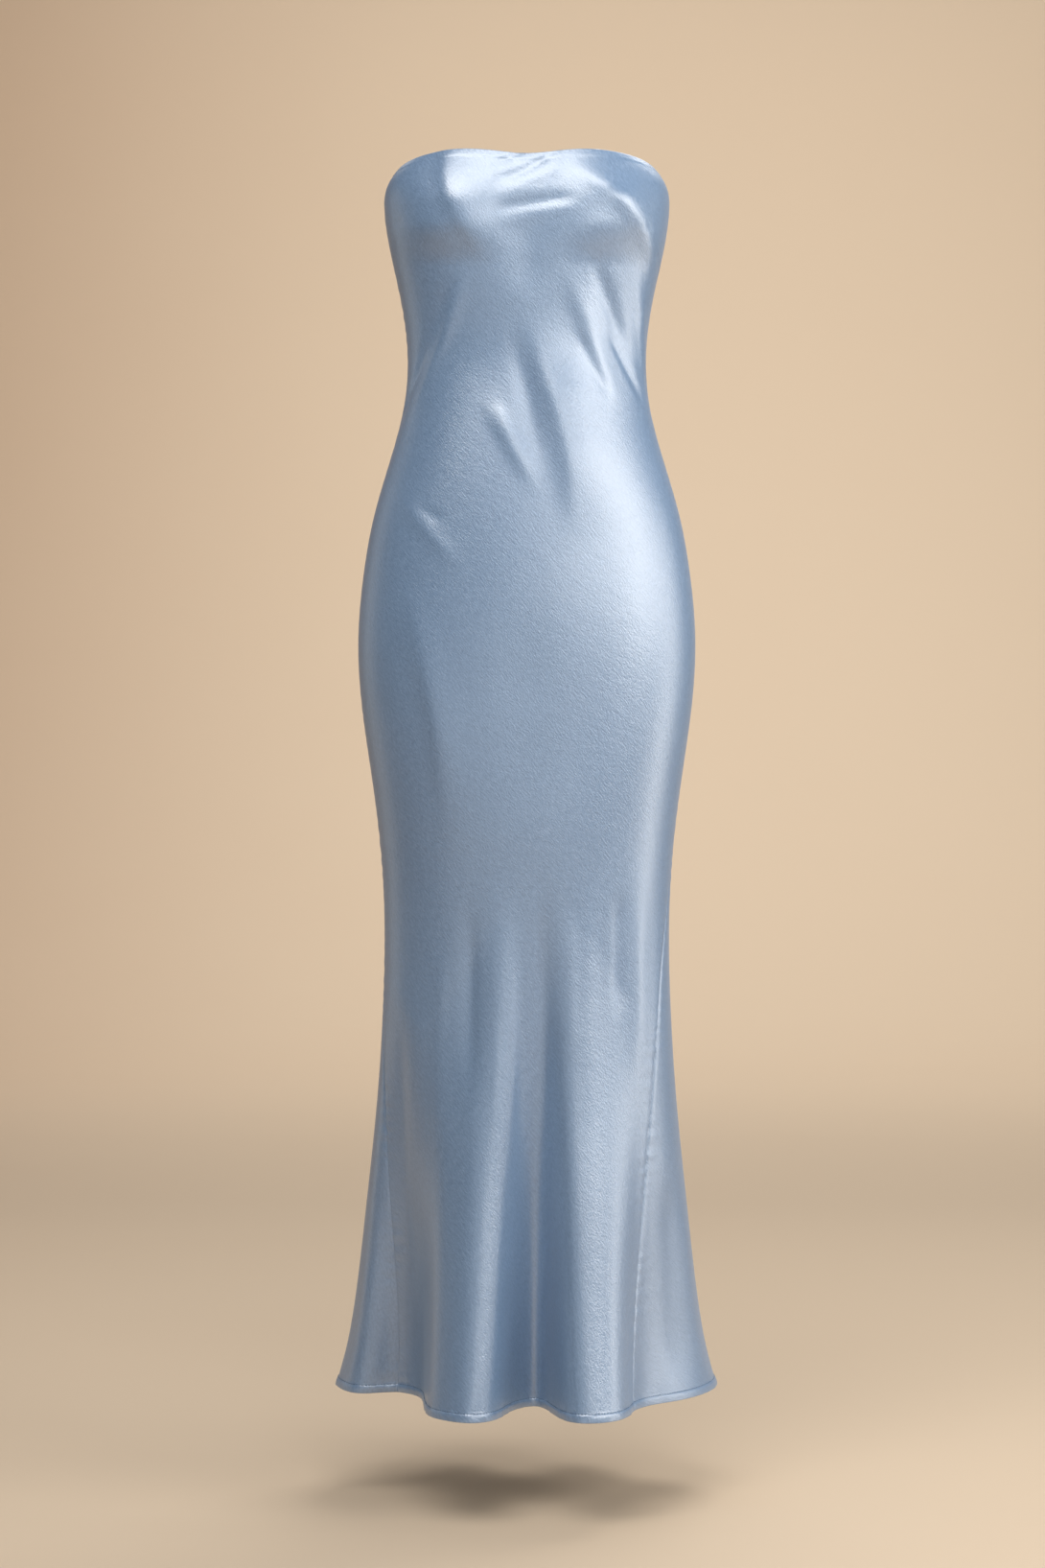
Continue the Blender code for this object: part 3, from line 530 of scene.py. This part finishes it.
def make_panel(name, edges, columns, centre_deg, sinks, seeds, material):
    """A satin panel: its outer and inner faces with folds, seams and turned edges."""
    rows, angles, places = panel_grid(edges, columns)
    down = np.repeat(rows[:, None], angles.shape[1], axis=1)
    points = cloth(angles, down)
    normals = outward(angles, down)
    centre = np.array([np.interp(centre_deg, a, p) for a, p in zip(angles, places)])[:, None]
    along = places - centre
    relief = seam_relief(places, places[:, -1:] - places, down, sinks, seeds)
    half = edge_round(down)
    outer = points + normals * (relief + half + turned_raise(along, down))[..., None]
    hem_fold = 0.0005 * smooth((HEM_TURN - (HEM_DOWN - down)) / 0.0012) * np.clip((HEM_DOWN - down) / 0.002, 0, 1)
    inner = points + normals * (relief - half - hem_fold)[..., None]
    uv = np.stack([along, -down], axis=-1)
    return closed_sheet(name, outer, inner, uv, material)


def front_edges(down):
    half = SEAM_GAP / 2
    return (float(side_seam["left_deg"](down)), half), (float(side_seam["right_deg"](down)), half)


def back_right_edges(down):
    return (float(side_seam["right_deg"](down)), SEAM_GAP / 2), (CENTRE_BACK_DEG, slot_half(down))


def back_left_edges(down):
    return (CENTRE_BACK_DEG, slot_half(down)), (float(side_seam["left_deg"](down)) + 360, SEAM_GAP / 2)


def stitch_run(name, edges, from_hem, length, gap, thread, material):
    """A row of machine stitches along the hem of a panel, as small rounded threads in one mesh."""
    down = HEM_DOWN - from_hem
    (start, _), (end, _) = edges(down)
    fine = np.linspace(start, end, 3000)
    level = np.full(fine.shape, down)
    points = cloth(fine, level)
    run = np.concatenate([[0], np.cumsum(np.linalg.norm(np.diff(points, axis=0), axis=1))])
    starts = np.arange(0.002, run[-1] - length - 0.002, length + gap)
    along_stitch = np.array([0.0, 0.12, 0.3, 0.5, 0.7, 0.88, 1.0])
    girth = np.array([0.35, 0.8, 1.0, 1.0, 1.0, 0.8, 0.35])
    rise = np.array([-0.9, 0.1, 0.5, 0.6, 0.5, 0.1, -0.9]) * thread / 2
    sides = np.linspace(0, 2 * pi, 7)[:-1]
    verts = []
    faces = []
    for begin in starts:
        angle = np.interp(begin + along_stitch * length, run, fine)
        centre = cloth(angle, np.full(angle.shape, down))
        normal = outward(angle, np.full(angle.shape, down))
        lift = SHELL / 2 + STITCH_LIFT
        base = len(verts)
        for point, face_normal, size, up in zip(centre, normal, girth, rise):
            middle = point + face_normal * (lift + up)
            for side in sides:
                verts.append(middle + thread / 2 * size * (face_normal * cos(side) + np.array([0, 0, 1]) * sin(side)))
        for ring in range(len(along_stitch) - 1):
            for k in range(6):
                n = (k + 1) % 6
                low = base + ring * 6
                faces.append((low + k, low + n, low + 6 + n, low + 6 + k))
        last = base + (len(along_stitch) - 1) * 6
        for first in (base, last):
            faces.append((first, first + 1, first + 2, first + 3))
            faces.append((first, first + 3, first + 4, first + 5))
    return new_object(name, verts, faces, material)


def make_tape(name, side, material):
    """A woven zip tape inside the centre-back seam. side is 1 towards +X and -1 towards -X."""
    rows = np.arange(ZIP_TOP_DOWN, ZIP_END_DOWN, 0.004)
    columns = np.array([0.0, 0.04, 0.12, 0.3, 0.5, 0.7, 0.88, 0.96, 1.0])
    outer = []
    inner = []
    for down in rows:
        near = angle_for(slot_half(down) + 0.0001, CENTRE_BACK_DEG, down)
        far = angle_for(TAPE_WIDTH, CENTRE_BACK_DEG, down)
        angles = CENTRE_BACK_DEG - side * (near + columns * (far - near))
        level = np.full(angles.shape, down)
        points = cloth(angles, level)
        normals = outward(angles, level)
        sink = CENTRE_SINK * np.exp(-(columns * TAPE_WIDTH / SEAM_SINK_REACH) ** 2)
        top = SHELL / 2 + TAPE_OFF_SHELL + sink
        outer.append(points - normals * top[:, None])
        inner.append(points - normals * (top[:, None] + TAPE_THICK))
    outer = np.array(outer)
    inner = np.array(inner)
    if side > 0:
        outer = outer[:, ::-1]
        inner = inner[:, ::-1]
    across = np.broadcast_to(columns * TAPE_WIDTH, outer.shape[:2])
    uv = np.stack([across, np.broadcast_to(-rows[:, None], across.shape)], axis=-1)
    return closed_sheet(name, outer, inner, uv, material)


def make_coil(material):
    """The zip's closed coil on the inner side of the tapes: one loop for each pitch, in one mesh."""
    verts = []
    faces = []
    sides = np.linspace(0, 2 * pi, 7)[:-1]
    path = [(-0.5, 0.0), (-0.42, 0.85), (-0.1, 1.0), (0.1, 1.0), (0.42, 0.85), (0.5, 0.0)]
    centre = np.array(CENTRE_BACK_DEG)
    for down in np.arange(COIL_START_DOWN, ZIP_END_DOWN - 0.004, COIL_PITCH):
        level = np.array(down)
        middle = cloth(centre, level)
        normal = outward(centre, level)
        tape_face = SHELL / 2 + TAPE_OFF_SHELL + CENTRE_SINK + TAPE_THICK
        base = len(verts)
        for across, up in path:
            point = middle - normal * (tape_face + COIL_WIRE / 2 + 0.0001 + up * COIL_RISE)
            point = point + np.array([across * COIL_WIDTH, 0, across * COIL_PITCH * 0.35])
            for side in sides:
                ring = normal * cos(side) + np.array([0, 0, 1]) * sin(side)
                verts.append(point + ring * COIL_WIRE / 2)
        for ring in range(len(path) - 1):
            for k in range(6):
                n = (k + 1) % 6
                low = base + ring * 6
                faces.append((low + k, low + 6 + k, low + 6 + n, low + n))
        last = base + (len(path) - 1) * 6
        for first in (base, last):
            faces.append((first, first + 1, first + 2, first + 3))
            faces.append((first, first + 3, first + 4, first + 5))
    return new_object("zip_coil", verts, faces, material)


def node_material(name):
    material = bpy.data.materials.new(name)
    material.use_nodes = True
    tree = material.node_tree
    return material, tree, tree.nodes["Principled BSDF"]


def noise(tree, vector, scale, detail=2.0, roughness=0.5):
    node = tree.nodes.new("ShaderNodeTexNoise")
    node.inputs["Scale"].default_value = scale
    node.inputs["Detail"].default_value = detail
    node.inputs["Roughness"].default_value = roughness
    tree.links.new(vector, node.inputs["Vector"])
    return node.outputs["Fac"]


def mapping(tree, vector, turn_deg, scale):
    """Cloth coordinates turned by an angle and then stretched."""
    turn = tree.nodes.new("ShaderNodeMapping")
    turn.inputs["Rotation"].default_value = (0, 0, radians(turn_deg))
    tree.links.new(vector, turn.inputs["Vector"])
    stretch = tree.nodes.new("ShaderNodeMapping")
    stretch.inputs["Scale"].default_value = scale
    tree.links.new(turn.outputs["Vector"], stretch.inputs["Vector"])
    return stretch.outputs["Vector"]


def math(tree, operation, first, second):
    node = tree.nodes.new("ShaderNodeMath")
    node.operation = operation
    for socket, value in zip(node.inputs, (first, second)):
        if isinstance(value, (int, float)):
            socket.default_value = value
        else:
            tree.links.new(value, socket)
    return node.outputs["Value"]


def colour_ramp(tree, factor, stops):
    node = tree.nodes.new("ShaderNodeValToRGB")
    elements = node.color_ramp.elements
    while len(elements) < len(stops):
        elements.new(0.5)
    for element, (position, colour) in zip(elements, stops):
        element.position = position
        element.color = (*colour, 1)
    tree.links.new(factor, node.inputs["Fac"])
    return node.outputs["Color"]


def bump(tree, height, distance, strength, before=None):
    node = tree.nodes.new("ShaderNodeBump")
    node.inputs["Distance"].default_value = distance
    node.inputs["Strength"].default_value = strength
    tree.links.new(height, node.inputs["Height"])
    if before is not None:
        tree.links.new(before, node.inputs["Normal"])
    return node.outputs["Normal"]


SLUB_TURN = 50              # lie of the slubs, from upper left to lower right


def satin(name, turn):
    """Pale blue bias satin: slanting slubs, a fine weave and a soft, broad gloss."""
    material, tree, shader = node_material(name)
    place = tree.nodes.new("ShaderNodeUVMap")
    place.uv_map = "cloth"
    cloth_place = place.outputs["UV"]
    slub = noise(tree, mapping(tree, cloth_place, turn, (150, 560, 1)), 1.0, 3.0, 0.60)
    grain = noise(tree, mapping(tree, cloth_place, turn, (430, 720, 1)), 1.0, 2.0, 0.6)
    crush = noise(tree, mapping(tree, cloth_place, turn - 18, (40, 85, 1)), 1.0, 2.0, 0.5)
    clouds = noise(tree, mapping(tree, cloth_place, 0, (9, 6, 1)), 1.0, 2.0, 0.5)
    tone = math(tree, "ADD", math(tree, "MULTIPLY", slub, 0.55), math(tree, "MULTIPLY", grain, 0.30))
    tone = math(tree, "ADD", tone, math(tree, "MULTIPLY", clouds, 0.15))
    colour = colour_ramp(tree, tone, ((0.36, (0.112, 0.192, 0.325)), (0.50, (0.150, 0.247, 0.400)),
                               (0.64, (0.196, 0.306, 0.475))))
    tree.links.new(colour, shader.inputs["Base Color"])
    gloss = tree.nodes.new("ShaderNodeMapRange")
    gloss.inputs["From Min"].default_value = 0.3
    gloss.inputs["From Max"].default_value = 0.7
    gloss.inputs["To Min"].default_value = 0.31
    gloss.inputs["To Max"].default_value = 0.37
    tree.links.new(slub, gloss.inputs["Value"])
    tree.links.new(gloss.outputs["Result"], shader.inputs["Roughness"])
    normal = bump(tree, crush, 0.0008, 0.28)
    normal = bump(tree, slub, 0.00034, 0.60, normal)
    normal = bump(tree, grain, 0.00030, 0.90, normal)
    tree.links.new(normal, shader.inputs["Normal"])
    shader.inputs["IOR"].default_value = 2.0
    shader.inputs["Specular IOR Level"].default_value = 0.85
    shader.inputs["Anisotropic"].default_value = 0.25
    shader.inputs["Sheen Weight"].default_value = 0.10
    shader.inputs["Sheen Roughness"].default_value = 0.40
    shader.inputs["Sheen Tint"].default_value = (0.80, 0.88, 1.0, 1)
    return material


def tape_cloth():
    """Matt tape with a fine herringbone."""
    material, tree, shader = node_material("zip_tape_weave")
    place = tree.nodes.new("ShaderNodeUVMap")
    place.uv_map = "cloth"
    wave = tree.nodes.new("ShaderNodeTexWave")
    wave.wave_type = "BANDS"
    wave.bands_direction = "DIAGONAL"
    wave.inputs["Scale"].default_value = 420
    tree.links.new(place.outputs["UV"], wave.inputs["Vector"])
    colour = colour_ramp(tree, wave.outputs["Fac"], ((0.0, (0.13, 0.19, 0.27)), (1.0, (0.20, 0.28, 0.38))))
    tree.links.new(colour, shader.inputs["Base Color"])
    tree.links.new(bump(tree, wave.outputs["Fac"], 0.0002, 0.6), shader.inputs["Normal"])
    shader.inputs["Roughness"].default_value = 0.85
    return material


def lacquer(name, base, roughness, metallic):
    """Lacquered metal or nylon in the cloth's colour, slightly rubbed."""
    material, tree, shader = node_material(name)
    place = tree.nodes.new("ShaderNodeTexCoord").outputs["Object"]
    wear = noise(tree, place, 900, 3.0, 0.6)
    low = tuple(0.80 * c for c in base)
    high = tuple(min(1, 1.15 * c) for c in base)
    tree.links.new(colour_ramp(tree, wear, ((0.35, low), (0.68, high))), shader.inputs["Base Color"])
    tree.links.new(bump(tree, wear, 0.00004, 0.4), shader.inputs["Normal"])
    shader.inputs["Roughness"].default_value = roughness
    shader.inputs["Metallic"].default_value = metallic
    return material


def thread_material():
    """Spun thread, twisted, a shade deeper than the satin."""
    material, tree, shader = node_material("sewing_thread")
    place = tree.nodes.new("ShaderNodeTexCoord").outputs["Object"]
    twist = noise(tree, mapping(tree, place, 35, (2500, 9000, 6000)), 1.0, 1.0, 0.5)
    tree.links.new(colour_ramp(tree, twist, ((0.3, (0.07, 0.11, 0.17)), (0.7, (0.14, 0.20, 0.29)))),
                   shader.inputs["Base Color"])
    tree.links.new(bump(tree, twist, 0.00005, 0.5), shader.inputs["Normal"])
    shader.inputs["Roughness"].default_value = 0.55
    return material


def backdrop_material():
    """Warm painted backdrop, faintly uneven, with painted shade that darkens it towards the left."""
    material, tree, shader = node_material("backdrop_paint_with_painted_shade")
    place = tree.nodes.new("ShaderNodeTexCoord").outputs["Object"]
    grain = noise(tree, place, 2.0)
    split = tree.nodes.new("ShaderNodeSeparateXYZ")
    tree.links.new(place, split.inputs["Vector"])
    # Painted shade: the backdrop's colour darkens towards the left, standing in for the lights falling off there.
    side = tree.nodes.new("ShaderNodeMapRange")
    side.interpolation_type = "SMOOTHSTEP"
    side.inputs["From Min"].default_value = -2.8
    side.inputs["From Max"].default_value = -0.13
    tree.links.new(split.outputs["X"], side.inputs["Value"])
    tone = math(tree, "ADD", math(tree, "MULTIPLY", side.outputs["Result"], 0.9), math(tree, "MULTIPLY", grain, 0.1))
    # The ramp's dark end is the painted shade on the left; its light end is the backdrop's own warm colour.
    colour = colour_ramp(tree, tone, ((0.0, (0.55, 0.395, 0.272)), (0.95, (0.640, 0.512, 0.380))))
    tree.links.new(colour, shader.inputs["Base Color"])
    shader.inputs["Roughness"].default_value = 0.9
    shader.inputs["Specular IOR Level"].default_value = 0.1
    return material


# Camera: level with the middle of the dress, as in the photograph
CAMERA_DISTANCE = 3.34
CAMERA_HEIGHT = -0.636
CAMERA_ASIDE = -0.0045
PHOTO_HEIGHT_PX = 1635
PIXEL_AT_DRESS = 0.001      # one pixel of the photo at the dress's side seams, in metres


def make_camera():
    data = bpy.data.cameras.new("camera")
    data.sensor_fit = "VERTICAL"
    data.sensor_height = 36
    data.lens = data.sensor_height * CAMERA_DISTANCE / (PHOTO_HEIGHT_PX * PIXEL_AT_DRESS)
    data.clip_end = 50
    camera = bpy.data.objects.new("camera", data)
    camera.location = (CAMERA_ASIDE, -CAMERA_DISTANCE, CAMERA_HEIGHT)
    camera.rotation_euler = (pi / 2, 0, 0)
    bpy.context.scene.collection.objects.link(camera)
    bpy.context.scene.camera = camera


FLOOR_HEIGHT = -1.372       # the dress hovers over the floor by a hand's width
BACK_WALL = 8.0             # far enough off for a view of the back from inside the stage
SWEEP = 3.2
HALF_STAGE = 9.0


def make_stage():
    """Floor and back wall in one sweep."""
    turns = np.linspace(0, pi / 2, 28)
    profile = [(-7.0, FLOOR_HEIGHT)]
    profile += [(BACK_WALL - SWEEP + SWEEP * sin(t), FLOOR_HEIGHT + SWEEP * (1 - cos(t))) for t in turns]
    profile += [(BACK_WALL, 5.0)]
    verts = [(x, y, z) for y, z in profile for x in (-HALF_STAGE, HALF_STAGE)]
    faces = [(2 * i, 2 * i + 1, 2 * i + 3, 2 * i + 2) for i in range(len(profile) - 1)]
    new_object("backdrop", verts, faces, backdrop_material())


AIM = Vector((0, 0, -0.45))   # middle of the dress, which the lights face


def softbox(name, aim, azimuth, elevation, distance, size, power, colour):
    """A rectangular light facing a place. azimuth: from the camera's side towards +X. elevation: above level."""
    data = bpy.data.lights.new(name, "AREA")
    data.shape = "RECTANGLE"
    data.size, data.size_y = size
    data.energy = power
    data.color = colour
    light = bpy.data.objects.new(name, data)
    turn, tilt = radians(azimuth), radians(elevation)
    way = Vector((sin(turn) * cos(tilt), -cos(turn) * cos(tilt), sin(tilt)))
    light.location = aim + way * distance
    light.rotation_euler = way.to_track_quat("Z", "Y").to_euler()
    bpy.context.scene.collection.objects.link(light)


def make_lights():
    softbox("key", AIM, 60, 17, 2.4, (1.2, 1.4), 25, (1.0, 0.98, 0.95))
    softbox("key_low", AIM, 88, -3, 2.4, (0.7, 1.9), 16, (1.0, 0.98, 0.95))
    softbox("overhead", AIM, -12, 49, 2.3, (1.9, 1.4), 38, (1.0, 0.99, 0.97))
    softbox("front_high", AIM, 27, 17, 2.7, (1.8, 0.9), 16, (1.0, 0.99, 0.97))
    softbox("front_fill", AIM, -8, -4, 3.3, (4.4, 0.9), 8, (0.94, 0.97, 1.0))
    softbox("left_rim", AIM, -118, 0, 2.6, (0.9, 2.2), 4, (1.0, 0.95, 0.88))
    softbox("back_top", AIM, 150, 56, 2.7, (1.6, 1.2), 30, (1.0, 0.98, 0.95))
    softbox("wall_wash", Vector((0.6, BACK_WALL, 0.2)), 0, 30, 4.2, (5.5, 1.2), 140, (1.0, 0.98, 0.95))
    softbox("floor_wash", Vector((0.6, 3.9, FLOOR_HEIGHT)), 0, 80, 3.7, (5.5, 2.4), 66, (1.0, 0.98, 0.95))
    world = bpy.data.worlds.new("studio")
    bpy.context.scene.world = world
    world.use_nodes = True
    background = world.node_tree.nodes["Background"]
    background.inputs["Color"].default_value = (0.86, 0.92, 1.0, 1)
    background.inputs["Strength"].default_value = 0.17
    bpy.context.scene.view_settings.view_transform = "Standard"


def make_dress():
    front_cloth = satin("front_satin_cloth", SLUB_TURN)
    back_right_cloth = satin("back_right_satin_cloth", SLUB_TURN)
    back_left_cloth = satin("back_left_satin_cloth", SLUB_TURN)
    thread = thread_material()
    tape = tape_cloth()
    front = make_panel("front_satin_panel", front_edges, FRONT_COLUMNS, 0.0, (FRONT_SINK, FRONT_SINK),
                       (0.4, 1.9), front_cloth)
    back_right = make_panel("back_right_satin_panel", back_right_edges, BACK_COLUMNS, CENTRE_BACK_DEG - 0.5,
                            (SIDE_SINK, CENTRE_SINK), (2.7, 0.9), back_right_cloth)
    back_left = make_panel("back_left_satin_panel", back_left_edges, BACK_COLUMNS, CENTRE_BACK_DEG + 0.5,
                           (CENTRE_SINK, SIDE_SINK), (1.4, 3.3), back_left_cloth)
    stitches = []
    for name, edges in (("front", front_edges), ("back_right", back_right_edges), ("back_left", back_left_edges)):
        stitches.append(stitch_run(name + "_hem_stitches", edges, STITCH_LINE, 0.0026, 0.0007, 0.0005, thread))
    tape_right = make_tape("zip_tape_right_woven", 1, tape)
    tape_left = make_tape("zip_tape_left_woven", -1, tape)
    coil = make_coil(lacquer("zip_coil_nylon", (0.24, 0.33, 0.45), 0.45, 0.0))
    metal = lacquer("zip_metal_lacquer", (0.30, 0.40, 0.53), 0.32, 0.55)
    for node in ("zip_slider", "zip_pull"):
        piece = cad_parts[node]
        piece.data.materials.clear()
        piece.data.materials.append(metal)
    for piece, node, slot in ((front, "front_panel", "front_satin"),
                              (back_right, "back_right_panel", "back_right_satin"),
                              (back_left, "back_left_panel", "back_left_satin"),
                              (tape_right, "zip_tape_right", "zip_tape_cloth"),
                              (tape_left, "zip_tape_left", "zip_tape_cloth")):
        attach(piece, "dress")
        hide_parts(node)
    for piece, slot in zip(stitches, ("front_satin", "back_right_satin", "back_left_satin")):
        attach(piece, "dress")
    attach(coil, "dress")


make_camera()
make_stage()
make_lights()
make_dress()
